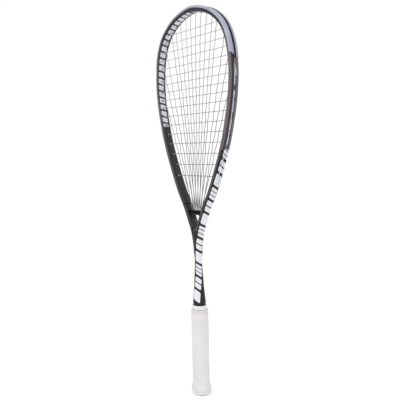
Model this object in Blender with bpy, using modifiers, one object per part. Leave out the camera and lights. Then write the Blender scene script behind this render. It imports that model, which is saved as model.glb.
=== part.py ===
"""Squash racket: a teardrop hoop on a slim shaft, strung with woven strings.

Metres, +Z up along the handle towards the head. The origin is the centre of the
butt's end face. X runs across the head and Y is normal to the string bed.
"""
import math

import bmesh
import bpy
from mathutils import Vector

# ---------------------------------------------------------------- dimensions
RIM_THICKNESS = 0.0092        # hoop section, in the plane of the strings
RIM_DEPTH = 0.0185            # hoop section, normal to the strings
RIM_CORNER = 0.0040           # rounding of the hoop section
RIM_STEP = 0.012              # spacing of the sections along the hoop

# Centreline of one side of the hoop, from the shaft to the top: (half width, height).
CENTRELINE = (
    (0.0026, 0.2350), (0.0036, 0.2620), (0.0046, 0.2835), (0.0095, 0.3060),
    (0.0245, 0.3392), (0.0431, 0.3712), (0.0625, 0.4128), (0.0791, 0.4545),
    (0.0904, 0.4959), (0.0972, 0.5309), (0.0998, 0.5680), (0.0959, 0.6040),
    (0.0878, 0.6284), (0.0751, 0.6475), (0.0542, 0.6641), (0.0305, 0.6744),
    (0.0000, 0.6799),
)
LEG_TAPER = ((0.235, 0.45), (0.262, 0.68), (0.315, 1.0))   # (height, section scale)

GROOVE_DEPTH = 0.0024
GROOVE_HALF = 0.0032
GROOVE_END = 0.3860           # height where the groove starts on each side

GAP = 0.0003                  # clearance between neighbouring pieces
STRING_RADIUS = 0.0006
WEAVE = 0.00075               # height of a string over the plane where it crosses another
LANE = 0.0014                 # strings leave the hoop beside the plane: mains +, crosses -
BASE_THICKNESS = 0.0008       # grommet strip
BASE_HALF = 0.0029
CHANNEL_HALF = 0.0023         # string channel in the bumper
BARREL_RADIUS = 0.0011
BORE_RADIUS = 0.00080
HOLE_RADIUS = 0.00135
TIP_PROUD = 0.0008            # how far a grommet tip stands out of the hoop
SHELTERED = 0.006             # strings keep their lanes this close to the hoop

CROSS_COUNT = 17
CROSS_TOP = 0.6489
CROSS_PITCH = 0.01425
CROSS_SPREAD = 0.00038        # extra drop of the lower crosses
CROSS_EVEN = 8                # crosses above this one are evenly spaced

MAIN_PAIRS = 8
MAIN_PITCH = 0.00178          # spacing of the main strings at the bridge
# How far each pair of mains leans outwards per metre of height, inner pair first.
MAIN_LEAN = (0.0175, 0.0549, 0.0932, 0.1356, 0.1700, 0.2400, 0.2989, 0.3640)
STRAIGHT_PAIRS = 5            # inner pairs; the outer ones turn square into the hoop
BRIDGE_STAGGER = 0.0020
BRIDGE_DRAW = 18.0            # how the bridge's holes draw together, per metre of height

BUMPER_END = 0.5850
BUMPER_OUT = 0.0013
BUMPER_WRAP = 0.0018
BUMPER_SIDE = 0.0009
BUMPER_ROUND = 0.0036
STRIP_TOP = 0.5842

BRIDGE_TOP = 0.3350
BRIDGE_BOTTOM = 0.3295
BRIDGE_HALF_DEPTH = 0.0078

SHAFT_STEPS = 24
HANDLE_FLATTEN = 0.894        # handle depth over handle width
FLATTEN_FROM = 0.205
FLATTEN_TO = 0.163
# Outside of the shaft: (radius, height), from the crotch down to the open lower end.
SHAFT_PROFILE = (
    (0.0040, 0.3080), (0.0072, 0.3020), (0.0088, 0.2940), (0.0084, 0.2830),
    (0.0070, 0.2620), (0.0068, 0.2400), (0.0080, 0.2180), (0.0093, 0.1960),
    (0.0123, 0.1720), (0.0121, 0.1668), (0.0104, 0.1558), (0.0100, 0.1500),
    (0.0100, 0.0060),
)
SHAFT_BORE_RADIUS = 0.0082    # inside of the shaft, up to the step
SHAFT_BORE_STEP = 0.1500
SHAFT_BORE_NECK = 0.0048
SHAFT_BORE_TOP = 0.2200

PALLET_TOP = 0.1578
PALLET_RADIUS = 0.0145
COLLAR_TOP = 0.1650
PALLET_NECK = 0.0128          # radius inside the butt cap
BUTT_HEIGHT = 0.0300
GRIP_TOP = 0.1512
GRIP_RADIUS = 0.0169
FLARE_RADIUS = 0.0194


# ---------------------------------------------------------------- scene helpers
def clear_scene():
    """Start from an empty file."""
    for old in list(bpy.data.objects):
        bpy.data.objects.remove(old, do_unlink=True)


def make_collection(name):
    """A collection linked to the scene."""
    collection = bpy.data.collections.new(name)
    bpy.context.scene.collection.children.link(collection)
    return collection


def make_material(name, colour, roughness, metallic=0.0):
    """A plain Principled material."""
    material = bpy.data.materials.new(name)
    material.use_nodes = True
    shader = material.node_tree.nodes["Principled BSDF"]
    shader.inputs["Base Color"].default_value = (*colour, 1.0)
    shader.inputs["Roughness"].default_value = roughness
    shader.inputs["Metallic"].default_value = metallic
    return material


def mesh_object(name, bm, collection, material=None):
    """Turn a bmesh into a smooth-shaded object."""
    mesh = bpy.data.meshes.new(name)
    bmesh.ops.recalc_face_normals(bm, faces=bm.faces)
    bm.to_mesh(mesh)
    bm.free()
    mesh.shade_smooth()
    mesh.set_sharp_from_angle(angle=math.radians(35))
    made = bpy.data.objects.new(name, mesh)
    collection.objects.link(made)
    if material:
        mesh.materials.append(material)
    return made


def curve_to_mesh(curve_object, name, collection, material=None):
    """Replace a curve object by a welded mesh of the same shape."""
    bpy.context.view_layer.update()
    graph = bpy.context.evaluated_depsgraph_get()
    evaluated = curve_object.evaluated_get(graph)
    mesh = bpy.data.meshes.new_from_object(evaluated)
    bm = bmesh.new()
    bm.from_mesh(mesh)
    bmesh.ops.remove_doubles(bm, verts=bm.verts, dist=0.00001)
    bpy.data.meshes.remove(mesh)
    made = mesh_object(name, bm, collection, material)
    made.matrix_world = curve_object.matrix_world.copy()
    bpy.data.objects.remove(curve_object, do_unlink=True)
    return made


def as_cutter(cutter):
    """Mark an object as a construction helper."""
    cutter.hide_render = True
    cutter.display_type = "WIRE"
    return cutter


def boolean(target, other, operation):
    """Add one exact Boolean step."""
    step = target.modifiers.new(operation.lower() + "_" + other.name, "BOOLEAN")
    step.operation = operation
    step.solver = "EXACT"
    step.object = other


# ---------------------------------------------------------------- the hoop's line
def catmull_rom(before, start, end, after, t):
    """Point between start and end on a smooth curve through the four."""
    return tuple(
        0.5 * (2 * b + (c - a) * t + (2 * a - 5 * b + 4 * c - d) * t * t
               + (3 * b - a - 3 * c + d) * t ** 3)
        for a, b, c, d in zip(before, start, end, after)
    )


def side_points(per_span=12):
    """Dense centreline of the +X side, from the shaft to the top."""
    mirrored = (-CENTRELINE[-2][0], CENTRELINE[-2][1])
    first = tuple(2 * a - b for a, b in zip(CENTRELINE[0], CENTRELINE[1]))
    knots = (first, *CENTRELINE, mirrored)
    points = []
    for i in range(1, len(knots) - 2):
        for k in range(per_span):
            points.append(catmull_rom(*knots[i - 1:i + 3], k / per_span))
    points.append(CENTRELINE[-1])
    return [Vector(p) for p in points]


def resample(points, step):
    """Points evenly spaced along a line, both ends kept."""
    lengths = [0.0]
    for a, b in zip(points, points[1:]):
        lengths.append(lengths[-1] + (b - a).length)
    count = max(2, round(lengths[-1] / step))
    result = []
    k = 0
    for i in range(count + 1):
        want = lengths[-1] * i / count
        while k < len(lengths) - 2 and lengths[k + 1] < want:
            k += 1
        share = (want - lengths[k]) / (lengths[k + 1] - lengths[k])
        result.append(points[k].lerp(points[k + 1], share))
    return result


def hoop_line(step):
    """Centreline from the left leg's foot, over the top, to the right leg's foot."""
    right = resample(side_points(), step)
    left = [Vector((-p.x, p.y)) for p in right]
    return left + right[-2::-1]


def outward(points, i):
    """Unit normal pointing out of the hoop at point i of a left-to-right line."""
    a = points[max(i - 1, 0)]
    b = points[min(i + 1, len(points) - 1)]
    along = (b - a).normalized()
    return Vector((-along.y, along.x))


def offset_line(points, distance):
    """The line moved outwards by a distance."""
    return [p + outward(points, i) * distance for i, p in enumerate(points)]


def between(points, low, high=1.0):
    """The part of a line whose height lies between two values, cut to end on them."""
    kept = []
    for a, b in zip(points, points[1:]):
        ends = []
        for level in (low, high):
            if (a.y - level) * (b.y - level) < 0:
                ends.append(a.lerp(b, (level - a.y) / (b.y - a.y)))
        inside = [p for p in (a, b) if low <= p.y <= high]
        if not kept or inside:
            span = sorted(inside + ends, key=lambda p: (p - a).length)
            kept += [p for p in span if not kept or (p - kept[-1]).length > 0.001]
    return kept


FINE = hoop_line(0.002)


def meet_hoop(start, direction, distance):
    """Where a ray in the plane first crosses the hoop's line moved by a distance."""
    line = offset_line(FINE, distance)
    across = Vector((-direction.y, direction.x))
    best = None
    for i in range(len(line) - 1):
        a = (line[i] - start).dot(across)
        b = (line[i + 1] - start).dot(across)
        if a * b > 0 or a == b:
            continue
        point = line[i].lerp(line[i + 1], a / (a - b))
        reach = (point - start).dot(direction)
        if reach > 0 and (best is None or reach < best[0]):
            best = (reach, point, outward(FINE, i))
    return best[1], best[2]


# ---------------------------------------------------------------- string layout
HALF_RIM = RIM_THICKNESS / 2
STRING_LEVEL = HALF_RIM - GROOVE_DEPTH + GAP + BASE_THICKNESS + GAP + STRING_RADIUS


def grommet(start, direction, square):
    """Mouth, exit and lane-free axis of one grommet hole through the hoop."""
    mouth, normal = meet_hoop(start, direction, -HALF_RIM - TIP_PROUD - GAP)
    axis = normal if square else (normal + direction).normalized()
    leave, _ = meet_hoop(mouth, axis, STRING_LEVEL)
    return {"mouth": mouth, "leave": leave, "axis": axis}


def cross_heights():
    """Heights of the cross strings, top first."""
    return [
        CROSS_TOP - CROSS_PITCH * i - CROSS_SPREAD * max(0, i - CROSS_EVEN) ** 2
        for i in range(CROSS_COUNT)
    ]


def main_line(k):
    """Foot of main string k on the bridge and its direction, k from left to right."""
    pair = MAIN_PAIRS - 1 - k if k < MAIN_PAIRS else k - MAIN_PAIRS
    side = -1 if k < MAIN_PAIRS else 1
    foot = Vector((side * MAIN_PITCH * (pair + 0.5), BRIDGE_TOP))
    lean = Vector((side * MAIN_LEAN[pair], 1.0)).normalized()
    return foot, lean, pair


def tie_hole(first, second, share):
    """A spare hole between two others, where a string's end comes back in to its knot."""
    middle = first["leave"].lerp(second["leave"], share)
    centre = min(range(len(FINE)), key=lambda i: (FINE[i] - middle).length)
    axis = outward(FINE, centre)
    mouth = FINE[centre] - axis * (HALF_RIM + TIP_PROUD + GAP)
    return {"mouth": mouth, "leave": FINE[centre] + axis * STRING_LEVEL, "axis": axis}


HEIGHTS = cross_heights()
MAIN_COUNT = 2 * MAIN_PAIRS
CROSS_HOLES = {}
for row, height in enumerate(HEIGHTS):
    for turn in (-1, 1):
        CROSS_HOLES[row, turn] = grommet(Vector((0, height)), Vector((turn, 0)), False)
MAIN_HOLES = {}
for column in range(MAIN_COUNT):
    base, way, pair_index = main_line(column)
    MAIN_HOLES[column] = grommet(base, way, pair_index >= STRAIGHT_PAIRS)
CROSS_TIES = {
    -1: tie_hole(CROSS_HOLES[0, -1], CROSS_HOLES[1, -1], 0.5),
    1: tie_hole(CROSS_HOLES[CROSS_COUNT - 1, 1], CROSS_HOLES[CROSS_COUNT - 2, 1], 0.5),
}
MAIN_TIES = {
    -1: tie_hole(CROSS_HOLES[6, -1], CROSS_HOLES[5, -1], 0.5),
    1: tie_hole(CROSS_HOLES[6, 1], CROSS_HOLES[5, 1], 0.5),
}
HOLES = (
    [(hole, -LANE) for hole in CROSS_HOLES.values()]
    + [(hole, LANE) for hole in MAIN_HOLES.values()]
    + [(hole, -LANE) for hole in CROSS_TIES.values()]
    + [(hole, LANE) for hole in MAIN_TIES.values()]
)


def in_space(point, depth):
    """A point of the string plane, moved along Y."""
    return Vector((point.x, depth, point.y))


def groove_run(first, second, depth):
    """Points along the groove from one hole's exit to the next one's."""
    near = [min(range(len(FINE)), key=lambda i: (FINE[i] - p).length)
            for p in (first, second)]
    step = 4 if near[1] > near[0] else -4
    line = offset_line(FINE, STRING_LEVEL)
    inside = [line[i] for i in range(near[0] + step, near[1] - step // 2, step)]
    return [in_space(p, depth) for p in [first] + inside + [second]]


def through(hole, depth, inwards):
    """A string's two points in a grommet."""
    pair = [in_space(hole["mouth"], depth), in_space(hole["leave"], depth)]
    return pair[::-1] if inwards else pair


def knot(hole, depth):
    """The end of a string inside the hoop: (point, thickness) with a knot."""
    mouth = in_space(hole["mouth"], depth)
    axis = Vector((hole["axis"].x, 0, hole["axis"].y))
    steps = ((0.0, 1.0), (0.0006, 1.0), (0.0010, 2.4), (0.0030, 2.4), (0.0034, 1.0), (0.0055, 1.0))
    return [(mouth - axis * s, width) for s, width in steps]


def crossings(k):
    """Where main string k meets the crosses, top first: (row, point, sheltered)."""
    foot, lean, _ = main_line(k)
    top = MAIN_HOLES[k]["mouth"]
    found = []
    for row, height in enumerate(HEIGHTS):
        x = foot.x + lean.x / lean.y * (height - foot.y)
        point = Vector((x, height))
        if height > top.y - 0.001:
            continue
        near_main = (top - point).length < SHELTERED
        near_cross = min(
            abs(CROSS_HOLES[row, side]["mouth"].x - x) for side in (-1, 1)
        ) < SHELTERED
        found.append((row, point, near_main or near_cross))
    return found


def weave_depth(row, column, sheltered):
    """How far the main lies in front of the plane at a crossing."""
    if sheltered:
        return 0.0009
    return WEAVE if (row + column) % 2 == 0 else -WEAVE


def bridge_depth(k):
    """The bridge's holes are staggered to the front and the back."""
    return BRIDGE_STAGGER if k % 2 == 0 else -BRIDGE_STAGGER


def bridge_point(k, height):
    """Point of main string k at a height near the bridge, where the holes draw together."""
    foot = main_line(k)[0]
    x = foot.x * (1.0 + BRIDGE_DRAW * (height - foot.y))
    return Vector((x, bridge_depth(k), height))


BRIDGE_STRING = BRIDGE_BOTTOM - 2 * GAP - BASE_THICKNESS - STRING_RADIUS


def main_route():
    """The main string, whole, from its left knot to its right knot."""
    start = MAIN_HOLES[0]["leave"]
    tie = MAIN_TIES[-1]
    route = list(reversed(knot(tie, LANE)))
    route += [(p, 1.0) for p in groove_run(tie["leave"], start, LANE)]
    for k in range(MAIN_COUNT):
        down = k % 2 == 0
        leg = [in_space(MAIN_HOLES[k]["mouth"], LANE)]
        for row, point, sheltered in crossings(k):
            leg.append(in_space(point, weave_depth(row, k, sheltered)))
        leg.append(bridge_point(k, BRIDGE_TOP + TIP_PROUD + GAP))
        leg.append(bridge_point(k, BRIDGE_STRING))
        route += [(p, 1.0) for p in (leg if down else reversed(leg))]
        if not down and k < MAIN_COUNT - 1:
            run = groove_run(MAIN_HOLES[k]["leave"], MAIN_HOLES[k + 1]["leave"], LANE)
            route += [(p, 1.0) for p in run]
    tie = MAIN_TIES[1]
    end = MAIN_HOLES[MAIN_COUNT - 1]["leave"]
    route += [(p, 1.0) for p in groove_run(end, tie["leave"], LANE)]
    return route + knot(tie, LANE)


def cross_route():
    """The cross string, whole, from its upper knot to its lower knot."""
    tie = CROSS_TIES[-1]
    route = list(reversed(knot(tie, -LANE)))
    route += [(p, 1.0) for p in groove_run(tie["leave"], CROSS_HOLES[0, -1]["leave"], -LANE)]
    for row in range(CROSS_COUNT):
        side = 1 if row % 2 == 0 else -1
        line = [in_space(CROSS_HOLES[row, -1]["mouth"], -LANE)]
        for column in range(MAIN_COUNT):
            for met, point, sheltered in crossings(column):
                if met == row:
                    line.append(in_space(point, -weave_depth(row, column, sheltered)))
        line.append(in_space(CROSS_HOLES[row, 1]["mouth"], -LANE))
        route += [(p, 1.0) for p in (line if side == 1 else reversed(line))]
        leave = CROSS_HOLES[row, side]["leave"]
        last = row == CROSS_COUNT - 1
        goal = CROSS_TIES[1]["leave"] if last else CROSS_HOLES[row + 1, side]["leave"]
        route += [(p, 1.0) for p in groove_run(leave, goal, -LANE)]
    return route + knot(CROSS_TIES[1], -LANE)


# ---------------------------------------------------------------- shape helpers
def rounded_section(thickness, depth, corner, per_corner=3):
    """Points of a rounded rectangle around the origin."""
    points = []
    for quarter in range(4):
        sx = 1 if quarter in (0, 3) else -1
        sy = 1 if quarter in (0, 1) else -1
        centre = Vector((sx * (thickness / 2 - corner), sy * (depth / 2 - corner)))
        for k in range(per_corner):
            angle = math.pi / 2 * (quarter + k / (per_corner - 1))
            points.append(centre + corner * Vector((math.cos(angle), math.sin(angle))))
    return points


def curve_data(name, dimensions):
    """An empty curve that is neither filled nor beveled yet."""
    data = bpy.data.curves.new(name, "CURVE")
    data.dimensions = dimensions
    data.fill_mode = "NONE" if dimensions == "2D" else "FULL"
    return data


def add_spline(data, points, cyclic, widths=None):
    """A polyline through 2D or 3D points."""
    spline = data.splines.new("POLY")
    spline.points.add(len(points) - 1)
    for i, point in enumerate(points):
        z = point[2] if len(point) > 2 else 0.0
        spline.points[i].co = (point[0], point[1], z, 1.0)
        spline.points[i].radius = widths[i] if widths else 1.0
    spline.use_cyclic_u = cyclic


def sweep(name, points, widths, section, collection, material=None):
    """A section swept along a line in the XZ plane, as a closed mesh."""
    profile_data = curve_data(name + "_section", "2D")
    add_spline(profile_data, section, True)
    profile = bpy.data.objects.new(name + "_section", profile_data)
    collection.objects.link(profile)
    data = curve_data(name, "2D")
    data.bevel_mode = "OBJECT"
    data.bevel_object = profile
    data.use_fill_caps = True
    add_spline(data, points, False, widths)
    line = bpy.data.objects.new(name + "_line", data)
    line.rotation_euler = (math.pi / 2, 0, 0)
    collection.objects.link(line)
    made = curve_to_mesh(line, name, collection, material)
    bpy.data.objects.remove(profile, do_unlink=True)
    return made


def plate(name, outlines, half_depth, collection, material=None, rounding=0.0):
    """A flat outline in the XZ plane, filled and given its depth along Y."""
    data = curve_data(name, "2D")
    data.fill_mode = "BOTH"
    data.extrude = half_depth - rounding
    data.bevel_depth = rounding
    data.bevel_resolution = 1
    for points in outlines:
        add_spline(data, points, True)
    flat = bpy.data.objects.new(name + "_outline", data)
    flat.rotation_euler = (math.pi / 2, 0, 0)
    collection.objects.link(flat)
    return curve_to_mesh(flat, name, collection, material)


def band_outline(points, inner, outer):
    """Closed outline of the strip between two offsets of a hoop line."""
    return offset_line(points, outer) + offset_line(points, inner)[::-1]


def turned(name, profile, collection, material=None, closed=False):
    """A profile of (radius, height) turned about Z; its outer side runs downwards."""
    mesh = bpy.data.meshes.new(name)
    count = len(profile)
    edges = [(i, i + 1) for i in range(count - 1)]
    if closed:
        edges.append((count - 1, 0))
    mesh.from_pydata([(r, 0.0, z) for r, z in profile], edges, [])
    made = bpy.data.objects.new(name, mesh)
    collection.objects.link(made)
    screw = made.modifiers.new("turn", "SCREW")
    screw.axis = "Z"
    screw.steps = SHAFT_STEPS
    screw.render_steps = SHAFT_STEPS
    screw.use_merge_vertices = True
    screw.merge_threshold = 0.00001
    bpy.context.view_layer.update()
    graph = bpy.context.evaluated_depsgraph_get()
    solid = bpy.data.meshes.new_from_object(made.evaluated_get(graph))
    bm = bmesh.new()
    bm.from_mesh(solid)
    bmesh.ops.remove_doubles(bm, verts=bm.verts, dist=0.00001)
    for vert in bm.verts:
        vert.co.y *= flatten_at(vert.co.z)
    bpy.data.meshes.remove(solid)
    bpy.data.objects.remove(made, do_unlink=True)
    return mesh_object(name, bm, collection, material)


def flatten_at(height):
    """Depth over width of the turned pieces: round at the neck, oval in the hand."""
    share = (FLATTEN_FROM - height) / (FLATTEN_FROM - FLATTEN_TO)
    return 1.0 + (HANDLE_FLATTEN - 1.0) * min(1.0, max(0.0, share))


def prisms(name, spans, radius, collection):
    """Six-sided rods between pairs of points, in one helper object."""
    bm = bmesh.new()
    for start, end in spans:
        along = end - start
        made = bmesh.ops.create_cone(
            bm, cap_ends=True, segments=6, radius1=radius, radius2=radius, depth=along.length
        )
        turn = along.to_track_quat("Z", "Y")
        for vert in made["verts"]:
            vert.co = turn @ vert.co + (start + end) / 2
    return as_cutter(mesh_object(name, bm, collection))


def hole_span(hole, depth, inner, outer):
    """A grommet's axis from inner metres past the mouth to outer metres past the exit."""
    axis = in_space(hole["axis"], 0.0)
    start = in_space(hole["mouth"], depth) - axis * inner
    return start, in_space(hole["leave"], depth) + axis * outer


def string_object(name, route, collection, material):
    """A string as a thin square tube along its whole route."""
    data = curve_data(name, "3D")
    data.bevel_depth = STRING_RADIUS
    data.bevel_resolution = 0
    data.use_fill_caps = True
    add_spline(data, [p for p, _ in route], False, [w for _, w in route])
    line = bpy.data.objects.new(name + "_line", data)
    collection.objects.link(line)
    return curve_to_mesh(line, name, collection, material)


# ---------------------------------------------------------------- the pieces
def leg_scale(height):
    """Section scale along the hoop: full above the throat, thin inside the shaft."""
    if height >= LEG_TAPER[-1][0]:
        return LEG_TAPER[-1][1]
    for (low, a), (high, b) in zip(LEG_TAPER, LEG_TAPER[1:]):
        if height <= high:
            return a + (b - a) * max(0.0, height - low) / (high - low)
    return 1.0


def build_frame(parts, helpers, material):
    """Hoop, legs and shaft as one moulding, with the string groove and its holes."""
    line = hoop_line(RIM_STEP)
    widths = [leg_scale(p.y) for p in line]
    section = rounded_section(RIM_THICKNESS, RIM_DEPTH, RIM_CORNER)
    frame = sweep("frame", line, widths, section, parts, material)
    outside = list(SHAFT_PROFILE)
    low = outside[-1]
    inside = [(SHAFT_BORE_RADIUS, low[1]), (SHAFT_BORE_RADIUS, SHAFT_BORE_STEP),
              (SHAFT_BORE_NECK, SHAFT_BORE_TOP)]
    profile = [(0.0, outside[0][1])] + outside + inside + [(0.0, SHAFT_BORE_TOP)]
    shaft = as_cutter(turned("shaft_core", profile, helpers))
    boolean(frame, shaft, "UNION")
    spans = [hole_span(hole, depth, 0.004, 0.004) for hole, depth in HOLES]
    boolean(frame, prisms("frame_holes", spans, HOLE_RADIUS, helpers), "DIFFERENCE")
    upper = between(line, GROOVE_END)
    ring = band_outline(upper, HALF_RIM - GROOVE_DEPTH, HALF_RIM + 0.003)
    groove = as_cutter(plate("groove", [ring], GROOVE_HALF, helpers))
    boolean(frame, groove, "DIFFERENCE")
    return frame


def add_grommets(strip, name, holes, helpers):
    """Barrels on a strip and the bores through them."""
    barrels = []
    bores = []
    for hole, depth in holes:
        axis = in_space(hole["axis"], 0.0)
        start = in_space(hole["mouth"], depth) + axis * GAP
        end = in_space(hole["leave"], depth) - axis * (STRING_RADIUS + GAP + 0.0003)
        barrels.append((start, end))
        bores.append(hole_span(hole, depth, 0.003, 0.003))
    boolean(strip, prisms(name + "_barrels", barrels, BARREL_RADIUS, helpers), "UNION")
    return bores


def holes_between(low, high, side=0):
    """The hoop's holes whose exits lie between two heights, on one side or on both."""
    return [
        (hole, depth) for hole, depth in HOLES
        if low <= hole["leave"].y < high and hole["leave"].x * side >= 0
    ]


def strip_levels():
    """Inner and outer offset of a grommet strip from the hoop's centreline."""
    inner = HALF_RIM - GROOVE_DEPTH + GAP
    return inner, inner + BASE_THICKNESS


def build_side_strip(side, parts, helpers, material):
    """Grommet strip in the groove along one side."""
    name = "grommet_strip_left" if side < 0 else "grommet_strip_right"
    half = [p for p in hoop_line(RIM_STEP) if p.x * side > 0]
    line = between(half, GROOVE_END + 0.002, STRIP_TOP)
    strip = plate(name, [band_outline(line, *strip_levels())], BASE_HALF, parts, material)
    holes = holes_between(GROOVE_END, STRIP_TOP, side)
    bores = add_grommets(strip, name, holes, helpers)
    boolean(strip, prisms(name + "_bores", bores, BORE_RADIUS, helpers), "DIFFERENCE")
    return strip


def arc(centre, radius, start, end, steps=4):
    """Points along an arc between two angles."""
    angles = [start + (end - start) * k / (steps - 1) for k in range(steps)]
    return [(centre[0] + radius * math.cos(a), centre[1] + radius * math.sin(a)) for a in angles]


def bumper_section():
    """Section of the bumper guard as (minus the offset from the hoop's line, depth)."""
    low, floor = strip_levels()
    seat = HALF_RIM + GAP
    lip = HALF_RIM - BUMPER_WRAP
    outer = HALF_RIM + BUMPER_OUT
    side = RIM_DEPTH / 2 + BUMPER_SIDE
    corner = (HALF_RIM - RIM_CORNER, RIM_DEPTH / 2 - RIM_CORNER)
    bend = math.acos((lip - corner[0]) / (RIM_CORNER + GAP))
    round_centre = (outer - BUMPER_ROUND, side - BUMPER_ROUND)
    half = [(floor, CHANNEL_HALF), (outer, CHANNEL_HALF)]
    half += arc(round_centre, BUMPER_ROUND, 0.0, math.pi / 2)
    half += [(lip, side)]
    half += arc(corner, RIM_CORNER + GAP, bend, 0.0)
    half += [(seat, BASE_HALF), (low, BASE_HALF)]
    return [(-u, v) for u, v in half] + [(-u, -v) for u, v in reversed(half)]


def build_bumper(parts, helpers, material):
    """Bumper guard over the head, with its own grommets and string channel."""
    line = between(hoop_line(RIM_STEP), BUMPER_END)
    bumper = sweep("bumper_guard", line, None, bumper_section(), parts, material)
    bores = add_grommets(bumper, "bumper", holes_between(BUMPER_END, 1.0), helpers)
    boolean(bumper, prisms("bumper_bores", bores, BORE_RADIUS, helpers), "DIFFERENCE")
    return bumper


def bridge_width(height):
    """Half the width between the legs at a height."""
    point, _ = meet_hoop(Vector((0, height)), Vector((1, 0)), -HALF_RIM - GAP)
    return point.x


def build_bridge(parts, helpers, materials):
    """Throat bridge between the legs and the grommet strip under it."""
    wide = bridge_width(BRIDGE_TOP)
    narrow = bridge_width(BRIDGE_BOTTOM)
    block = [(-narrow, BRIDGE_BOTTOM), (narrow, BRIDGE_BOTTOM),
             (wide, BRIDGE_TOP), (-wide, BRIDGE_TOP)]
    bridge = plate("throat_bridge", [block], BRIDGE_HALF_DEPTH, parts, materials["frame"])
    holes = []
    barrels = []
    bores = []
    for k in range(MAIN_COUNT):
        top = bridge_point(k, BRIDGE_TOP + 0.004)
        bottom = bridge_point(k, BRIDGE_BOTTOM - 0.004)
        holes.append((bottom, top))
        bores.append((bottom, top))
        barrels.append((bridge_point(k, BRIDGE_BOTTOM - GAP - BASE_THICKNESS / 2),
                        bridge_point(k, BRIDGE_TOP + TIP_PROUD)))
    boolean(bridge, prisms("bridge_holes", holes, HOLE_RADIUS, helpers), "DIFFERENCE")
    top = BRIDGE_BOTTOM - GAP
    low = top - BASE_THICKNESS
    half = bridge_width(low) - GAP
    base = [(-half, low), (half, low), (half, top), (-half, top)]
    strip = plate("throat_grommet_strip", [base], 0.0045, parts, materials["grommets"])
    boolean(strip, prisms("throat_barrels", barrels, BARREL_RADIUS, helpers), "UNION")
    boolean(strip, prisms("throat_bores", bores, BORE_RADIUS, helpers), "DIFFERENCE")


def half_space(name, side, helpers):
    """A box that covers one side of the handle's split plane."""
    bm = bmesh.new()
    bmesh.ops.create_cube(bm, size=1.0)
    for vert in bm.verts:
        vert.co.x *= 0.06
        vert.co.y = vert.co.y * 0.04 + side * (0.02 - GAP / 2)
        vert.co.z = vert.co.z * 0.4 + 0.1
    return as_cutter(mesh_object(name, bm, helpers))


def build_handle(parts, helpers, materials):
    """Pallet halves on the shaft, butt cap, grip, finishing tape and collar."""
    inner = 0.0100 + GAP
    pallet = [
        (PALLET_RADIUS - 0.0008, PALLET_TOP), (PALLET_RADIUS, PALLET_TOP - 0.002),
        (PALLET_RADIUS, BUTT_HEIGHT + GAP), (PALLET_NECK, BUTT_HEIGHT + GAP),
        (PALLET_NECK, 0.0040), (inner, 0.0040), (inner, 0.1495), (0.0107 + GAP, PALLET_TOP),
    ]
    for name, side in (("handle_pallet_front", -1), ("handle_pallet_back", 1)):
        half = turned(name, pallet, parts, materials["pallet"], closed=True)
        boolean(half, half_space(name + "_split", -side, helpers), "DIFFERENCE")
    wall = PALLET_NECK + GAP
    lip = FLARE_RADIUS - 0.0004
    cap = [
        (0.0, 0.0030), (wall, 0.0030), (wall, BUTT_HEIGHT),
        (PALLET_RADIUS, BUTT_HEIGHT), (PALLET_RADIUS + 0.0004, BUTT_HEIGHT - 0.006),
        (0.0170, 0.0110), (0.0174, 0.0078), (lip, 0.0074), (lip - 0.0006, 0.0044),
        (lip - 0.0024, 0.0014), (lip - 0.0052, 0.0),
        (0.0, 0.0),
    ]
    turned("butt_cap", cap, parts, materials["cap"])
    thin = 2 * GAP
    grip = [
        (GRIP_RADIUS - 0.0012, GRIP_TOP), (GRIP_RADIUS, GRIP_TOP - 0.0020),
        (GRIP_RADIUS, 0.0260), (FLARE_RADIUS - 0.0005, 0.0180), (FLARE_RADIUS, 0.0130),
        (FLARE_RADIUS - 0.0001, 0.0077), (0.0174 + thin, 0.0080), (0.0170 + thin, 0.0114),
        (PALLET_RADIUS + 0.0004 + GAP, 0.0252), (PALLET_RADIUS + GAP, 0.0320),
        (PALLET_RADIUS + GAP, GRIP_TOP),
    ]
    turned("grip", grip, parts, materials["grip"], closed=True)
    tape_in = PALLET_RADIUS + GAP
    tape = [
        (tape_in + 0.0006, PALLET_TOP), (tape_in + 0.0009, PALLET_TOP - 0.0010),
        (tape_in + 0.0009, GRIP_TOP + GAP), (tape_in, GRIP_TOP + GAP), (tape_in, PALLET_TOP),
    ]
    turned("finishing_tape", tape, parts, materials["tape"], closed=True)
    collar = [
        (0.0131, COLLAR_TOP), (0.0140, COLLAR_TOP - 0.0012), (0.0146, PALLET_TOP + GAP),
        (0.0113, PALLET_TOP + GAP), (0.0119, COLLAR_TOP - 0.0027), (0.0123, COLLAR_TOP),
    ]
    turned("grip_collar", collar, parts, materials["collar"], closed=True)


def main():
    """Build every piece."""
    clear_scene()
    parts = make_collection("squash_racket")
    helpers = make_collection("cutters")
    materials = {
        "frame": make_material("frame_lacquer", (0.030, 0.026, 0.030), 0.35),
        "bumper": make_material("bumper_plastic", (0.34, 0.36, 0.46), 0.40),
        "grommets": make_material("grommet_plastic", (0.50, 0.50, 0.56), 0.45),
        "string": make_material("string", (0.72, 0.72, 0.74), 0.40),
        "pallet": make_material("pallet_foam", (0.10, 0.09, 0.08), 0.80),
        "cap": make_material("butt_cap_plastic", (0.70, 0.70, 0.70), 0.50),
        "grip": make_material("grip_polyurethane", (0.80, 0.80, 0.78), 0.70),
        "tape": make_material("finishing_tape", (0.62, 0.58, 0.52), 0.60),
        "collar": make_material("collar_rubber", (0.80, 0.80, 0.80), 0.60),
    }
    build_frame(parts, helpers, materials["frame"])
    build_bridge(parts, helpers, materials)
    build_bumper(parts, helpers, materials["bumper"])
    for side in (-1, 1):
        build_side_strip(side, parts, helpers, materials["grommets"])
    string_object("main_string", main_route(), parts, materials["string"])
    string_object("cross_string", cross_route(), parts, materials["string"])
    build_handle(parts, helpers, materials)


main()
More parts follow.
